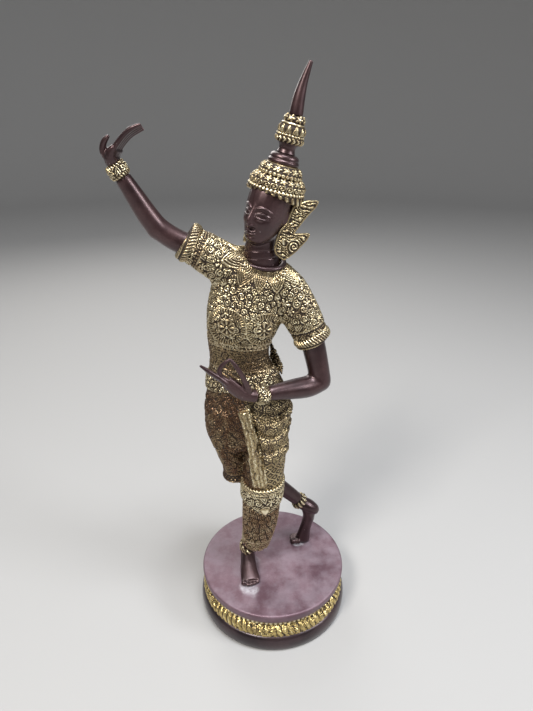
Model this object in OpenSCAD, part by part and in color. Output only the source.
// Cast bronze temple dancer on a round stepped base: dark skin castings, gilt relief costume.
// Millimetres, +Z up. Origin: centre of the underside of the base. The dancer faces -Y.

/* [Base] */
// Radius of the top plate
plate_r = 60.5; // [52:0.5:74]
// Thickness of the top plate
plate_t = 8; // [6:0.5:12]
// Height of the beaded neck under the plate
neck_h = 6; // [4:0.5:9]
// How far the neck stands back from the plate's edge
neck_inset = 5; // [3:0.5:6]
// Height of the leaf-relief collar
collar_h = 9; // [6:0.5:14]
// Height of the plinth
plinth_h = 14; // [10:0.5:20]
// How far the plinth bulges beyond the plate
plinth_bulge = 2; // [1:0.5:4]
// Inside of the hollow base, measured in from the plate's edge
base_wall = 10; // [9:0.5:14]
// Wall of the tube that the neck and collar slip over
tube_wall = 2.5; // [2:0.25:3.5]
// Depth of the rim that centres the plate in the tube
register_h = 1.5; // [1:0.25:3]

/* [Fixings] */
// Shank radius of the screws that hold the feet
screw_r = 2; // [1.5:0.25:2.25]
// Depth of each screw in the foot
screw_grip = 7; // [5:0.5:8]
// Radius of the screw heads
head_r = 3.5; // [3:0.25:4.5]
// Height of the screw heads
head_h = 3; // [2:0.25:4]
// Outer radius of the washers
washer_r = 5; // [4.5:0.25:7]
// Thickness of the washers
washer_t = 1; // [0.75:0.25:2]
// Play between pieces that slide together
fit_gap = 0.1; // [0.05:0.05:0.2]

/* [Figure] */
// Height of the dancer above the plate
figure_h = 382; // [300:1:460]
// Radius of the tenon under the neck
neck_tenon_r = 7; // [5:0.5:8.5]
// Radius of the tenon between the body and the hips
waist_tenon_r = 8; // [6:0.5:10]
// Radius of the tenons at the tops of the arms
arm_tenon_r = 5; // [4:0.5:6]
// Radius of the tenons at the wrists and the rear ankle
wrist_tenon_r = 2.6; // [2:0.2:3.2]
// Radius of the standing ankle's tenon
ankle_tenon_r = 4; // [3:0.5:5]

/* [Costume] */
// Outer radius of the sleeve cuffs
cuff_r = 13.2; // [12.8:0.2:15.4]
// Length of the sleeve cuffs
cuff_w = 7; // [5:0.5:9]
// Outer radius of the bracelets
bracelet_r = 6.2; // [5.6:0.1:7.5]
// Length of the bracelets
bracelet_w = 8; // [6:0.5:10]
// Outer radius of the rear anklet
anklet_r = 7.2; // [6.6:0.1:8.5]
// Length of the rear anklet
anklet_w = 5; // [4:0.5:7]
// How far the waist belt stands proud
belt_t = 1.4; // [1:0.2:3]
// How far the hip swags stand proud
swag_t = 1.5; // [1.1:0.2:3.1]
// How far the knee apron stands proud
apron_t = 1.8; // [1:0.2:3]
// Outer radius of the neckline ring
neckline_r = 17.5; // [16.5:0.25:19]
// Thickness of the ear ornaments
ear_t = 2.2; // [1.5:0.1:3]

/* [Crown] */
// Lean of the crown towards the dancer's left, in degrees
crown_tilt = 15; // [8:1:20]
// Turn of the head towards the dancer's right, in degrees
head_turn = 37; // [25:1:45]
// Radius of the rod that the crown's pieces are threaded on
rod_r = 2; // [1.5:0.25:3]
// Radius of the crown's lowest band
rim_r = 18.2; // [17:0.2:20]
// Radius of the gilt bulb
bulb_r = 8.6; // [7.5:0.2:10]
// Length of the spire
spire_l = 30; // [22:0.5:38]
// Radius of the spire's foot
spire_r = 4.4; // [3.6:0.2:5.4]

/* [Hidden] */

skin = "#3d2b2c";
gilt = "#a98f4e";
bronze = "#6e4f2e";
steel = "#8a8d90";

designed_h = 382; // height at which the figure's own sizes below are true
k = figure_h / designed_h;
plate_z = plinth_h + collar_h + neck_h + plate_t;
plate_under = plate_z - plate_t;
hollow_r = plate_r - base_wall;
tube_r = hollow_r + tube_wall;
neck_r = plate_r - neck_inset;
round_edge = 1;
front = [0, -1, 0];
big = 200;
$fn = 64;

// Places where the screws enter the feet, on the plate
left_screw = [-21, -3];
right_screw = [27.5, 20.5];

// Stations below are [x, y, z, half width, half depth], z measured up from the plate.
// The trunk, from the crotch to the neck
trunk = [
    [-19, 0, 122, 26, 18], [-20, 2, 138, 31, 20.5], [-20, 3, 153, 32, 22], [-21.5, 3, 166, 29.5, 20.5],
    [-24, 2.5, 180, 25, 17.5], [-25, 2, 193, 21.2, 16], [-24.8, 1, 209, 22.4, 17],
    [-21.4, -1, 225, 25.4, 19], [-17.6, 0, 240, 26, 18], [-14, 0.8, 251, 25, 16.8],
    [-10.8, 1, 260, 21.5, 14.6], [-8.6, -1.2, 266.5, 16.4, 12.4]
];
trunk_steps = 3;
waist_cut = 12; // ring at which the bodice meets the hips
belt_from = 11;
belt_to = 13;

// The standing leg, from the groin to the hem of the legging
left_leg = [
    [-6, 0, 148, 16, 20], [-6, -3, 130, 15.6, 19.5], [-6.6, -7, 111, 15.6, 18], [-8, -10, 96, 15.1, 16.4],
    [-9, -11.5, 84, 15, 15.2], [-9.6, -11, 70, 14.5, 14.3], [-10.6, -9.5, 54, 14, 13],
    [-12.4, -8, 39, 12.5, 11.8], [-14.8, -7, 26, 11.3, 10.8]
];
leg_steps = 3;
knee_cut = 14; // ring at which the legging begins

// The thigh of the crossed leg, down to its knee hem
right_thigh = [
    [-33, 2, 154, 15, 19], [-35.6, 2, 142, 15.4, 19], [-35, 1, 130, 14.2, 17.6], [-32.8, 0, 117, 11.8, 15.4],
    [-30.6, 0, 104, 9.8, 13], [-30, 0, 95, 9.6, 12], [-30.2, 0, 90, 10.4, 12.8]
];

ankle = [
    [-16.6, -5, 38, 6, 6], [-18.8, -3.4, 26, 5.7, 5.6],
    [-21.4, 0, 15, 5.8, 6.2], [-21.6, 0.8, 8, 6.4, 7.4]
];
left_sole = [
    [-22, 8.6, 4, 3.2, 3.4], [-22, 6.6, 4.6, 5, 5.6], [-21.8, 0, 6, 6, 8], [-21.2, -8, 5, 6.4, 7.8],
    [-20.2, -17, 3.4, 7.2, 5.6], [-18.8, -24, 2.6, 7.8, 3.6], [-18.2, -27.5, 2, 7.6, 2.8]
];
left_toes = [
    [-24, -31.6, 2.5], [-20.4, -32.4, 1.9], [-17.4, -31.8, 1.8], [-14.6, -30.6, 1.7], [-12.2, -28.8, 1.5]
];

shin = [
    [-26, 3, 96, 8.4, 8.4], [-14, 10, 82, 7.6, 7.6], [0, 16.5, 69, 7, 7], [12, 19.5, 57, 6.2, 6.2],
    [21.6, 21.4, 46.6, 5.6, 5.6]
];
rear_heel = [
    [25.4, 22, 42.4, 5.6, 5.6], [31, 22, 39, 6, 6.8], [36.6, 21.8, 35.2, 5, 5.4], [39.4, 21.6, 33, 2.8, 3.2]
];
rear_sole = [
    [29.4, 22, 39.6, 5.2, 6], [32.2, 21.6, 30, 5.4, 6], [30.4, 21.2, 20, 4.9, 4.3],
    [28.4, 20.8, 11, 5.4, 4], [27.4, 20.6, 4.6, 6.2, 4.4], [27.2, 20.5, 1.4, 6.2, 4.2]
];
rear_toes = [[16.4, 17, 2.2], [15.6, 19.4, 1.8], [15.4, 21.6, 1.7], [15.8, 23.8, 1.6], [16.8, 25.8, 1.5]];

// The twisted sash down the front, and the swags: top, bottom and sag of each
sash_path = [
    [-21, -20, 160, 4, 2.4], [-18, -22.5, 146, 4.4, 2.6], [-14.5, -24, 128, 4.6, 2.6],
    [-12, -25.6, 112, 5, 2.4], [-10.6, -26.6, 99, 5, 2]
];
swags = [[157, 150, 9], [144, 137, 9], [130, 124, 6]];

right_sleeve_path = [
    [-19, 0, 255, 12.6, 14.5], [-30, 0, 260.4, 13.8, 14], [-41, -0.6, 267.4, 13.2, 13.2],
    [-53, -1.5, 275.2, 12, 12]
];
left_sleeve_path = [
    [1, 0, 254, 11, 13.6], [8.2, 0, 245, 13.2, 13.8], [15.2, -0.6, 233, 13.4, 13.6],
    [21, -1.2, 222, 12.8, 13], [25, -1.7, 213.6, 12, 12]
];

right_upper = [
    [-49, -1.3, 273.4, 8.2, 8.2], [-57, -2.2, 275.8, 7.8, 7.8], [-66, -3.2, 280.4, 7.5, 7.5],
    [-75, -4, 287, 7.3, 7.3]
];
right_fore = [
    [-75, -4, 287, 7.3, 7.3], [-80.6, -5.6, 295.8, 7, 6.9], [-87.2, -7.8, 308.4, 6.1, 6],
    [-93, -9.8, 319.6, 5.1, 5.1]
];
left_upper = [
    [25, -1.7, 213.6, 8.8, 8.8], [28.4, -2.8, 202, 8.5, 8.5], [31.4, -4.6, 189, 8, 8],
    [33.6, -6, 177.6, 7.8, 7.8]
];
left_fore = [
    [33.6, -6, 177.6, 7.6, 7.6], [25, -10, 175.4, 8, 8], [15, -15, 176, 7.5, 7.5],
    [3.4, -21, 177.2, 6.1, 6], [-4.9, -25.2, 177.6, 5.2, 5.2]
];
elbow_r = 7.7;

neck_path = [
    [-10.2, 0.4, 260, 13.6, 11], [-9.6, -0.4, 268, 12.2, 10.4],
    [-8.8, -0.6, 276, 10.2, 9.8], [-6, -0.4, 289, 9.2, 9.8]
];
// The skull in its own frame: z runs up the crown's axis from the rim, the face looks along -Y
skull = [
    [0, -12.4, -31, 4, 3], [0, -10.8, -29, 7, 6.2], [0, -7.6, -24.6, 10, 11.2], [0, -4.8, -18, 12.3, 15],
    [0, -2.6, -11, 13.7, 16.6], [0, -1.4, -4, 14.1, 16.8], [0, -0.4, 3, 13.4, 15.6], [0, 0.4, 9, 10.4, 12]
];
crown_at = [0, -1, 308];
rod_foot = -6; // the rod's lower end, below the rim
rim_foot = [0, 0, -2.2]; // the rim's lower edge passes here and rises towards the forehead
rim_rise = 12; // in degrees
skull_top = 2.6;

// Heights of the crown's pieces along its axis
rim_z = [-7, 4.2];
tier_z = [4.2, 11];
dome_z = [11, 18];
collar_z = [18, 24.4];
crown_neck_z = [24.4, 31];
bulb_z = [31, 46.4];

// Functions
function unit(v) = v / norm(v);
function centre(r) = [r[0], r[1], r[2]];
function blend4(a, b, c, d, t) =
    0.5 * (2 * b + (c - a) * t + (2 * a - 5 * b + 4 * c - d) * t * t + (3 * b - a - 3 * c + d) * t * t * t);
function smooth(rows, steps) = let (last = len(rows) - 1) [
    for (i = [0:last - 1])
        for (j = [0:steps - 1])
            blend4(rows[max(i - 1, 0)], rows[i], rows[i + 1], rows[min(i + 2, last)], j / steps),
    rows[last]
];
function heading(rows, i) = unit(centre(rows[min(i + 1, len(rows) - 1)]) - centre(rows[max(i - 1, 0)]));
// One closed outline of the limb at station i, a grow wider than drawn
function outline(rows, i, sides, grow, ahead) =
    let (t = heading(rows, i), side = unit(cross(t, ahead)), deep = cross(side, t), r = rows[i])
    [for (s = [0:sides - 1]) let (a = 360 * s / sides)
        centre(r) + side * (r[3] + grow) * cos(a) + deep * (r[4] + grow) * sin(a)];
function joined(list) = [for (row = list) each row];
// Triangles between ring i and the next one; a ring count of `around` wraps the last onto the first
function wall_faces(rings, sides, around) = [
    for (i = [0:(around ? rings - 1 : rings - 2)], s = [0:sides - 1])
        let (n = (i + 1) % rings, u = (s + 1) % sides)
        each [[i * sides + s, i * sides + u, n * sides + u], [i * sides + s, n * sides + u, n * sides + s]]
];
function flipped(list) = [for (i = [len(list) - 1:-1:0]) list[i]];

// Building blocks
module figure() { translate([0, 0, plate_z]) scale(k) children(); }
// A joined shape that is kept as one smooth shell
module shell() { resize([0, 0, 0]) children(); }
// A closed limb through rings of equal point count
module loft(rings) {
    sides = len(rings[0]);
    last = (len(rings) - 1) * sides;
    polyhedron(
        points = joined(rings),
        faces = concat(
            wall_faces(len(rings), sides, false),
            [flipped([for (s = [0:sides - 1]) s]), [for (s = [0:sides - 1]) last + s]]
        )
    );
}
module limb(rows, sides = 20, steps = 3, grow = 0, ahead = front) {
    fine = smooth(rows, steps);
    loft([for (i = [0:len(fine) - 1]) outline(fine, i, sides, grow, ahead)]);
}
// A band that wraps a limb: its inner face lies on the limb, its outer face stands proud
module band(fine, from, to, sides, inner, outer) {
    out = [for (i = [from:to]) outline(fine, i, sides, outer, front)];
    in = [for (i = [from:to]) outline(fine, i, sides, inner, front)];
    rings = concat(out, flipped(in));
    polyhedron(points = joined(rings), faces = wall_faces(len(rings), sides, true));
}
// Puts a shape's +Z along a direction
module aim(at, dir) {
    d = unit(dir);
    translate(at) rotate([0, acos(d[2]), atan2(d[1], d[0])]) children();
}
module peg(at, dir, r, l, back = 0) { aim(at, dir) translate([0, 0, -back]) cylinder(r = r, h = l + back); }
module on_crown() { figure() translate(crown_at) rotate([0, crown_tilt, 0]) children(); }
module in_crown() { translate(crown_at) rotate([0, crown_tilt, 0]) children(); }
module in_head() { in_crown() rotate([0, 0, -head_turn]) children(); }
module rod_bore(z) { translate([0, 0, z[0] - 1]) cylinder(r = rod_r + fit_gap, h = z[1] - z[0] + 2); }
module ring_piece(r_out, r_in, w, bulge) {
    rotate_extrude() polygon([
        [r_in, 0], [r_out - bulge, 0], [r_out, w * 0.3], [r_out, w * 0.7], [r_out - bulge, w], [r_in, w]
    ]);
}
function end_of(rows) = centre(rows[len(rows) - 1]);
function end_dir(rows) = unit(end_of(rows) - centre(rows[len(rows) - 2]));

// The base
module plinth() {
    z = plinth_h;
    color(skin) rotate_extrude($fn = 128) polygon(concat(
        [[hollow_r, 0], [plate_r + plinth_bulge - 1.6, 0]],
        [for (a = [-60:15:75]) [plate_r + plinth_bulge - 3 + 3 * cos(a), z * 0.46 + z * 0.5 * sin(a)]],
        [[plate_r - 0.5, z], [tube_r, z], [tube_r, plate_under], [hollow_r, plate_under]]
    ));
}
module gilt_collar() {
    color(gilt) translate([0, 0, plinth_h]) rotate_extrude($fn = 128) polygon(concat(
        [[tube_r + fit_gap, 0], [plate_r - 0.5, 0]],
        [for (a = [-50:20:70])
            [plate_r - 3.5 + 4 * cos(a) - 1.4 * (1 + sin(a)), collar_h * (0.5 + 0.48 * sin(a))]],
        [[neck_r, collar_h], [tube_r + fit_gap, collar_h]]
    ));
}
module bead_ring() {
    color(gilt) translate([0, 0, plinth_h + collar_h]) rotate_extrude($fn = 128) polygon([
        [tube_r + fit_gap, 0], [neck_r, 0], [neck_r + 0.9, neck_h * 0.2], [neck_r + 0.9, neck_h * 0.55],
        [neck_r, neck_h * 0.7], [neck_r, neck_h], [tube_r + fit_gap, neck_h]
    ]);
}
module screw_places() {
    for (p = [left_screw, right_screw])
        translate([p[0] * k, p[1] * k, 0]) children();
}
module top_plate() {
    color(skin) difference() {
        translate([0, 0, plate_under]) rotate_extrude($fn = 128) polygon([
            [0, -register_h], [hollow_r - fit_gap, -register_h], [hollow_r - fit_gap, 0],
            [plate_r - 1.5, 0], [plate_r - 0.8, 0.6], [plate_r, plate_t - round_edge],
            [plate_r - 0.3 * round_edge, plate_t - 0.3 * round_edge],
            [plate_r - round_edge, plate_t], [0, plate_t]
        ]);
        screw_places() translate([0, 0, plate_under - register_h - 1])
            cylinder(r = screw_r + fit_gap, h = plate_t + register_h + 2);
    }
}
module foot_screws() {
    top = plate_z + screw_grip;
    under = plate_under - register_h - washer_t;
    color(steel) screw_places() union() {
        translate([0, 0, under]) cylinder(r = screw_r, h = top - under);
        translate([0, 0, under - head_h]) cylinder(r = head_r, h = head_h);
    }
}
module foot_washers() {
    color(steel) screw_places() translate([0, 0, plate_under - register_h - washer_t]) difference() {
        cylinder(r = washer_r, h = washer_t);
        translate([0, 0, -1]) cylinder(r = screw_r + fit_gap, h = washer_t + 2);
    }
}
module screw_hole(p) {
    translate([p[0] * k, p[1] * k, plate_z - 1])
        cylinder(r = screw_r + fit_gap, h = screw_grip + 1 + fit_gap);
}

// The legs
leg = smooth(left_leg, leg_steps);
body = smooth(trunk, trunk_steps);
leg_sides = 24;
body_sides = 28;
module below_plate() { translate([-big / 2, -big / 2, -big]) cube(big); }
module toe(from, to, r) {
    span = to - from;
    limb([
        concat(from, [r, r]), concat(from + span * 0.5, [r * 0.86, r * 0.86]),
        concat(from + span * 0.84, [r, r]), concat(to, [r * 0.55, r * 0.5])
    ], 8, 2, 0, [0, 0, 1]);
}
module left_foot() {
    color(skin) difference() {
        union() {
            figure() shell() difference() {
                union() {
                    limb(ankle, 16);
                    limb(left_sole, 16, 2, 0, [0, 0, 1]);
                    for (i = [0:4])
                        toe([-23.6 + 2.7 * i, -24, 2.4], left_toes[i], i == 0 ? 2.5 : 1.9 - 0.12 * i);
                }
                below_plate();
            }
            figure() peg(centre(ankle[0]), [0, 0, 1], ankle_tenon_r, 12, 4);
        }
        screw_hole(left_screw);
    }
}
module left_anklet() {
    rows = smooth(ankle, 3);
    color(gilt) figure() shell() union() {
        band(rows, 5, 7, 20, 0, 1.1);
        aim(centre(ankle[2]) + [0, -7.4, -1], front) cylinder(r1 = 2.8, r2 = 1.8, h = 2, $fn = 16);
    }
}
module left_legging() {
    color(bronze) difference() {
        figure() shell() difference() {
            leg_slice(knee_cut, len(leg) - 1);
            limb(ankle, 16, 3, fit_gap);
        }
        figure() peg(centre(ankle[0]), [0, 0, 1], ankle_tenon_r + fit_gap, 12 + fit_gap, 0);
    }
}
module body_slice(from, to, grow = 0) {
    loft([for (i = [from:to]) outline(body, i, body_sides, grow, front)]);
}
module leg_slice(from, to, grow = 0) {
    loft([for (i = [from:to]) outline(leg, i, leg_sides, grow, front)]);
}
module hips() { body_slice(0, waist_cut); }
module thigh() { leg_slice(0, knee_cut); }
module whole_leg() { leg_slice(0, len(leg) - 1); }
module waist_peg(r, l) { peg(centre(body[waist_cut]), [0, 0, -1], r, l, 6); }
module hip_casting() {
    color(gilt) difference() {
        figure() shell() union() {
            hips();
            thigh();
        }
        figure() waist_peg(waist_tenon_r + fit_gap, 12 + fit_gap);
    }
}
module right_thigh_form(grow = 0) { limb(right_thigh, 22, 3, grow); }
module right_thigh_wrap() {
    color(bronze) figure() shell() difference() {
        right_thigh_form();
        hips();
        thigh();
        limb(shin, 14, 3, fit_gap);
    }
}
module right_shin() {
    at = end_of(shin);
    dir = end_dir(shin);
    color(skin) figure() union() {
        shell() difference() {
            limb(shin, 14);
            whole_leg();
            hips();
        }
        peg(at, dir, wrist_tenon_r, anklet_w + 4, 2);
    }
}
module right_anklet() {
    color(gilt) figure() difference() {
        aim(end_of(shin), end_dir(shin)) ring_piece(anklet_r, 1, anklet_w, 1);
        peg(end_of(shin), end_dir(shin), wrist_tenon_r + fit_gap, anklet_w + 2, 2);
    }
}
module right_foot() {
    dir = end_dir(shin);
    start = end_of(shin) + dir * anklet_w;
    color(skin) difference() {
        figure() difference() {
            shell() difference() {
                union() {
                    limb(concat([concat(start, [5.4, 5.4])], rear_heel), 14);
                    limb(rear_sole, 14, 3);
                    for (i = [0:4])
                        toe([25, 16.6 + 2 * i, 3.2], rear_toes[i], i == 0 ? 2.5 : 2 - 0.1 * i);
                }
                below_plate();
                aim(start, -dir) translate([-20, -20, 0]) cube(40);
            }
            peg(start, dir, wrist_tenon_r + fit_gap, 4 + fit_gap, 1);
        }
        screw_hole(right_screw);
    }
}

// The skirt's trimmings
module lower_forms() {
    hips();
    whole_leg();
    right_thigh_form();
}
// One swag: a crescent that hangs over the left hip between two heights
module swag(z_high, z_low, sag) {
    intersection() {
        union() {
            body_slice(0, waist_cut, swag_t);
            leg_slice(0, knee_cut, swag_t);
        }
        rotate([90, 0, 0]) translate([0, 0, -14]) linear_extrude(40) polygon(concat(
            [for (t = [0:0.125:1]) [-16 + 34 * t, z_high - sag * 0.7 * sin(180 * t)]],
            [for (t = [1:-0.125:0]) [-16 + 34 * t, z_low - sag * sin(180 * t)]]
        ));
    }
}
module hip_swags() {
    color(gilt) figure() shell() difference() {
        union() for (s = swags) swag(s[0], s[1], s[2]);
        lower_forms();
        sash_form(fit_gap);
    }
}
module sash_form(grow = 0) { limb(sash_path, 10, 3, grow); }
module front_sash() {
    color(gilt) figure() shell() difference() {
        sash_form();
        lower_forms();
    }
}
module knee_apron() {
    color(gilt) figure() shell() difference() {
        intersection() {
            leg_slice(7, len(leg) - 5, apron_t);
            rotate([90, 0, 0]) translate([0, 0, -12]) linear_extrude(60) polygon([
                [-32, 95], [16, 95], [16, 80], [6, 77], [-6.5, 69], [-16, 76], [-32, 83]
            ]);
        }
        lower_forms();
        limb(shin, 14, 3, fit_gap);
    }
}
module waist_belt() {
    color(gilt) figure() band(body, belt_from, belt_to, body_sides, 0, belt_t);
}
module belt_boss() {
    r = body[waist_cut];
    a = 42;
    at = [r[0] + r[3] * cos(a), r[1] - r[4] * sin(a), r[2]];
    color(gilt) figure() difference() {
        aim(at, [r[4] * cos(a), -r[3] * sin(a), 0]) translate([0, 0, belt_t - 1])
            cylinder(r1 = 5, r2 = 3.4, h = 2.6);
        shell() band(body, belt_from, belt_to, body_sides, -3, belt_t);
    }
}
module waist_fin() {
    color(gilt) figure() shell() difference() {
        translate([-4, 10, 170]) rotate([90, 0, -28]) translate([0, 0, -0.9]) linear_extrude(1.8)
            polygon([[-4, 2], [6, 0], [11, 5], [12, 14], [7, 24], [1, 34], [2, 22], [-3, 12]]);
        body_slice(0, len(body) - 1, belt_t);
    }
}

// The bodice and sleeves
module torso() { body_slice(waist_cut, len(body) - 1); }
function neck_start() = centre(neck_path[0]);
module bodice() {
    color(gilt) figure() union() {
        difference() {
            shell() difference() {
                torso();
                neck_form(fit_gap);
            }
            peg(neck_start(), [0, 0, -1], neck_tenon_r + fit_gap, 10 + fit_gap, 0);
        }
        waist_peg(waist_tenon_r, 12);
    }
}
module sleeve(path) {
    dir = end_dir(path);
    color(gilt) figure() difference() {
        shell() difference() {
            limb(path, 20);
            torso();
            neck_form(fit_gap);
        }
        peg(end_of(path), -dir, arm_tenon_r + fit_gap, 12 + fit_gap, 1);
    }
}
module right_sleeve() { sleeve(right_sleeve_path); }
module left_sleeve() { sleeve(left_sleeve_path); }
module cuff(path, arm) {
    color(gilt) figure() difference() {
        aim(end_of(path), end_dir(path)) ring_piece(cuff_r, 4, cuff_w, 1.4);
        shell() limb(arm, 16, 3, fit_gap);
    }
}
module right_cuff() { cuff(right_sleeve_path, right_upper); }
module left_cuff() { cuff(left_sleeve_path, left_upper); }
neckline_tilt = [20, 12, 0];
module neckline_ring() {
    color(skin) figure() difference() {
        translate(centre(trunk[len(trunk) - 1])) rotate(neckline_tilt) scale([1, 0.78, 1])
            rotate_extrude($fn = 48) translate([neckline_r - 2.6, 0]) scale([1.3, 1])
                circle(r = 1.6, $fn = 12);
        shell() union() {
            torso();
            neck_form(fit_gap);
            limb(right_sleeve_path, 20);
            limb(left_sleeve_path, 20);
        }
    }
}

// The arms
module arm(path, upper, fore) {
    color(skin) figure() union() {
        shell() difference() {
            union() {
                limb(upper, 16);
                limb(fore, 16);
                translate(centre(fore[0])) sphere(r = elbow_r, $fn = 18);
            }
            aim(end_of(path), -end_dir(path)) translate([-30, -30, 0]) cube(60);
            aim(end_of(fore), end_dir(fore)) translate([-30, -30, 0]) cube(60);
        }
        peg(end_of(path), -end_dir(path), arm_tenon_r, 12, 4);
        peg(end_of(fore), end_dir(fore), wrist_tenon_r, bracelet_w + 4, 4);
    }
}
module right_arm() { arm(right_sleeve_path, right_upper, right_fore); }
module left_arm() { arm(left_sleeve_path, left_upper, left_fore); }
module bracelet(fore) {
    color(gilt) figure() difference() {
        aim(end_of(fore), end_dir(fore)) ring_piece(bracelet_r, 1, bracelet_w, 0.5);
        peg(end_of(fore), end_dir(fore), wrist_tenon_r + fit_gap, bracelet_w + 2, 2);
    }
}
module right_bracelet() { bracelet(right_fore); }
module left_bracelet() { bracelet(left_fore); }
function hand_at(fore) = end_of(fore) + end_dir(fore) * bracelet_w;
module hand(fore) {
    at = hand_at(fore);
    color(skin) figure() difference() {
        shell() difference() {
            union() children();
            aim(at, -end_dir(fore)) translate([-30, -30, 0]) cube(60);
        }
        peg(at, end_dir(fore), wrist_tenon_r + fit_gap, 4 + fit_gap, 1);
    }
}
finger_r = 1.75;
right_row = [-0.02, 0.95, -0.31]; // from the first finger to the last
// A finger along its joints, moved sideways from where it is drawn
module finger(joints, shift, size) {
    last = len(joints) - 1;
    limb([
        for (j = [0:last])
            let (r = finger_r * size * (j == last ? 0.56 : 1 - 0.03 * j))
            concat(joints[j] + shift, [r, r])
    ], 8, 2);
}
module right_hand() {
    s = hand_at(right_fore);
    hand(right_fore) {
        limb([
            concat(s, [4.6, 4.7]), [-97.2, -11.6, 330, 4.7, 6], [-95.9, -11.8, 333, 3.9, 6.8],
            [-93, -12, 335.6, 2.8, 6.9]
        ], 14, 2, 0, right_row);
        for (i = [0:3])
            finger([[-95, -16, 334.8], [-90.8, -16.8, 339.6], [-86.2, -17.6, 344], [-81.8, -18.2, 346.7],
                [-76.6, -18.8, 348.6]], right_row * 2.9 * i, 1 - 0.02 * i);
        limb([
            [-99, -12.6, 330.4, 2.9, 3], [-101.2, -13.4, 333.4, 2.4, 2.4],
            [-101, -14.2, 336.8, 2, 2], [-99, -15.2, 340.2, 1.8, 1.8], [-96.3, -16, 342.6, 1, 1]
        ], 10, 2);
    }
}
module left_hand() {
    s = hand_at(left_fore);
    hand(left_fore) {
        limb([
            concat(s, [4.6, 4.4]), [-20, -31, 180.4, 5, 4.4], [-26.6, -33, 186.4, 5.2, 3.8],
            [-32, -34, 192.2, 4.6, 3.2]
        ], 12, 2);
        for (i = [0:2])
            limb([
                [-30.8 - 0.8 * i, -36 + 2.5 * i, 190.4 - 0.9 * i, finger_r, finger_r],
                [-36.4 - 0.6 * i, -37.2 + 2.7 * i, 196 - 1.5 * i, finger_r, finger_r],
                [-42.6 - 0.3 * i, -38 + 2.9 * i, 201.2 - 2 * i, finger_r * 0.95, finger_r * 0.95],
                [-48.6 + 1.1 * i, -38.6 + 3 * i, 206 - 2.8 * i, 0.9, 0.9]
            ], 8, 2);
        limb([
            [-31, -35, 192.6, 2, 2], [-35.2, -36, 196.8, 1.8, 1.8],
            [-36, -36.5, 202, 1.7, 1.7], [-32.8, -37, 206.6, 1.5, 1.5], [-28.6, -37, 210, 1, 1]
        ], 8, 3);
        limb([
            [-17, -31.6, 183, 2.8, 2.8], [-19.2, -33.6, 190, 2.2, 2.1], [-21.6, -35.4, 197, 1.9, 1.8],
            [-25.4, -36.4, 204.4, 1.7, 1.5], [-29, -36.8, 209.8, 1, 1]
        ], 8, 3);
    }
}

// The head
module neck_form(grow = 0) { limb(neck_path, 18, 2, grow); }
ear_root = [14.4, 1.5, -20]; // in the skull's frame, on the dancer's left
ear_peg_r = 1.2;
ear_splay = 50; // how far the ornaments stand back from straight out
module above_skull() { in_crown() translate([-40, -40, skull_top]) cube([80, 80, 40]); }
module ear_frame(side) {
    in_head() mirror([side < 0 ? 1 : 0, 0, 0]) translate(ear_root) rotate([0, 0, ear_splay]) children();
}
module ear_pegs(r, l) {
    for (side = [-1, 1]) in_head() mirror([side < 0 ? 1 : 0, 0, 0])
        translate(ear_root + [-l, 0, 0]) rotate([0, 90, 0]) cylinder(r = r, h = l + 2);
}
module head() {
    color(skin) figure() difference() {
        union() {
            shell() difference() {
                union() {
                    in_head() limb(skull, 22, 3);
                    neck_form();
                    in_head() for (side = [-1, 1])
                        translate([13 * side, 1.6, -12]) scale([0.34, 0.7, 1]) sphere(r = 5.4, $fn = 14);
                }
                above_skull();
            }
            peg(neck_start(), [0, 0, -1], neck_tenon_r, 10, 4);
        }
        in_crown() translate([0, 0, rod_foot]) cylinder(r = rod_r + fit_gap, h = 20);
        ear_pegs(ear_peg_r + fit_gap, 5 + fit_gap);
    }
}
module ear_outline() {
    polygon([
        [-4.2, -11.7], [-2.4, -15.2], [3.5, -17.8], [7.2, -14.4], [10.5, -9.8], [15, -1.6], [15.8, 2.1],
        [10.7, 0.8], [4.7, -0.4], [7.1, 5], [9.1, 9.8], [11.2, 14], [14.2, 18.9], [15.1, 23], [9, 21.8],
        [4.2, 19.4], [0.1, 16.2], [-0.6, 11], [-1, 5.4], [-4, 0.5], [-4.7, -5.1]
    ]);
}
module ear_ornament(side) {
    color(gilt) figure() difference() {
        union() {
            ear_frame(side) rotate([90, 0, 0]) translate([0, 0, -ear_t / 2])
                linear_extrude(ear_t) ear_outline();
            in_head() mirror([side < 0 ? 1 : 0, 0, 0])
                translate(ear_root + [-5, 0, 0]) rotate([0, 90, 0]) cylinder(r = ear_peg_r, h = 6);
        }
        shell() difference() {
            union() {
                in_head() limb(skull, 22, 3, fit_gap);
                neck_form(fit_gap);
            }
            ear_pegs(ear_peg_r + fit_gap, 6);
        }
    }
}
module right_ear_ornament() { ear_ornament(-1); }
module left_ear_ornament() { ear_ornament(1); }

// The crown, a stack threaded on the spire's rod
module crown_rim() {
    color(gilt) figure() difference() {
        in_crown() rotate_extrude() polygon([
            [2, rim_z[0]], [rim_r - 0.6, rim_z[0]], [rim_r, rim_z[0] + 2], [rim_r, rim_z[1] - 2],
            [rim_r - 1, rim_z[1]], [2, rim_z[1]]
        ]);
        in_crown() rod_bore(rim_z);
        in_head() translate(rim_foot) rotate([-rim_rise, 0, 0]) translate([-40, -40, -40]) cube([80, 80, 40]);
        shell() difference() {
            in_head() limb(skull, 22, 3, fit_gap);
            above_skull();
        }
    }
}
module crown_piece(z, shade, points) {
    color(shade) on_crown() difference() {
        translate([0, 0, z[0]]) rotate_extrude() polygon(points);
        rod_bore(z);
    }
}
module crown_tier() {
    h = tier_z[1] - tier_z[0];
    crown_piece(tier_z, gilt, [
        [0, 0], [rim_r - 1.2, 0], [rim_r - 0.6, h * 0.4], [rim_r - 2.4, h * 0.8], [rim_r - 4, h], [0, h]
    ]);
}
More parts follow.
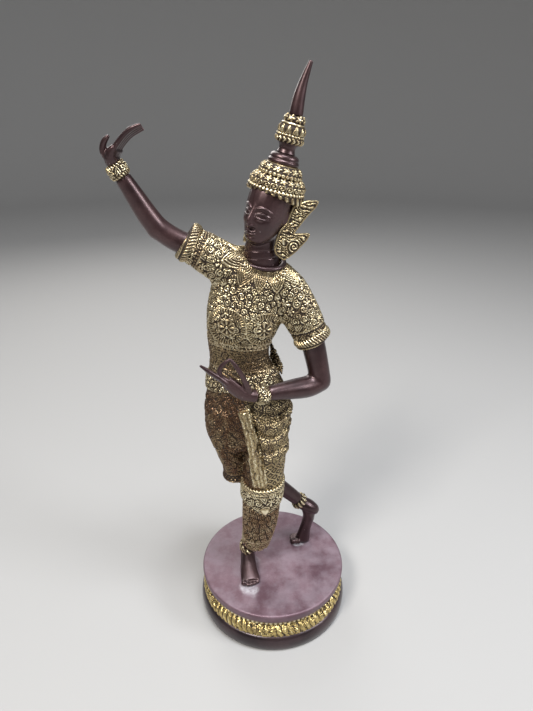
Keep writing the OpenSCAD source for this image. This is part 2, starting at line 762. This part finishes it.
module crown_dome() {
    h = dome_z[1] - dome_z[0];
    crown_piece(dome_z, gilt, [
        [0, 0], [rim_r - 5, 0], [rim_r - 4.6, h * 0.35], [rim_r - 6, h * 0.75], [rim_r - 8.4, h], [0, h]
    ]);
}
module crown_collar() {
    h = collar_z[1] - collar_z[0];
    crown_piece(collar_z, skin, [
        [0, 0], [9, 0], [9.8, h * 0.15], [9.8, h * 0.35], [8.8, h * 0.5], [9.2, h * 0.62],
        [8.6, h * 0.85], [7, h], [0, h]
    ]);
}
module crown_neck() {
    h = crown_neck_z[1] - crown_neck_z[0];
    crown_piece(crown_neck_z, skin, concat(
        [[0, 0], [6.2, 0]],
        [for (t = [0.2:0.2:1]) [6.2 - 1.6 * sin(180 * t) + 0.8 * t, h * t]],
        [[0, h]]
    ));
}
module crown_bulb() {
    h = bulb_z[1] - bulb_z[0];
    crown_piece(bulb_z, gilt, [
        [0, 0], [bulb_r - 1, 0], [bulb_r, h * 0.08], [bulb_r, h * 0.2], [bulb_r - 0.8, h * 0.28],
        [bulb_r - 0.4, h * 0.5], [bulb_r - 1.4, h * 0.64], [bulb_r - 2.8, h * 0.7],
        [bulb_r - 2.3, h * 0.84], [spire_r + 0.8, h], [0, h]
    ]);
}
module spire() {
    color(skin) on_crown() union() {
        translate([0, 0, rod_foot]) cylinder(r = rod_r, h = bulb_z[1] - rod_foot + 1);
        limb([
            [0, 0, bulb_z[1], spire_r, spire_r],
            [-0.8, 0, bulb_z[1] + spire_l * 0.3, spire_r * 0.86, spire_r * 0.86],
            [-0.7, 0, bulb_z[1] + spire_l * 0.62, spire_r * 0.6, spire_r * 0.6],
            [0.5, 0, bulb_z[1] + spire_l, spire_r * 0.3, spire_r * 0.3]
        ], 16, 3);
    }
}

plinth();
gilt_collar();
bead_ring();
top_plate();
foot_screws();
foot_washers();
left_foot();
left_anklet();
left_legging();
hip_casting();
right_thigh_wrap();
right_shin();
right_anklet();
right_foot();
hip_swags();
front_sash();
knee_apron();
waist_belt();
belt_boss();
waist_fin();
bodice();
right_sleeve();
left_sleeve();
right_cuff();
left_cuff();
neckline_ring();
right_arm();
right_bracelet();
right_hand();
left_arm();
left_bracelet();
left_hand();
head();
right_ear_ornament();
left_ear_ornament();
crown_rim();
crown_tier();
crown_dome();
crown_collar();
crown_neck();
crown_bulb();
spire();
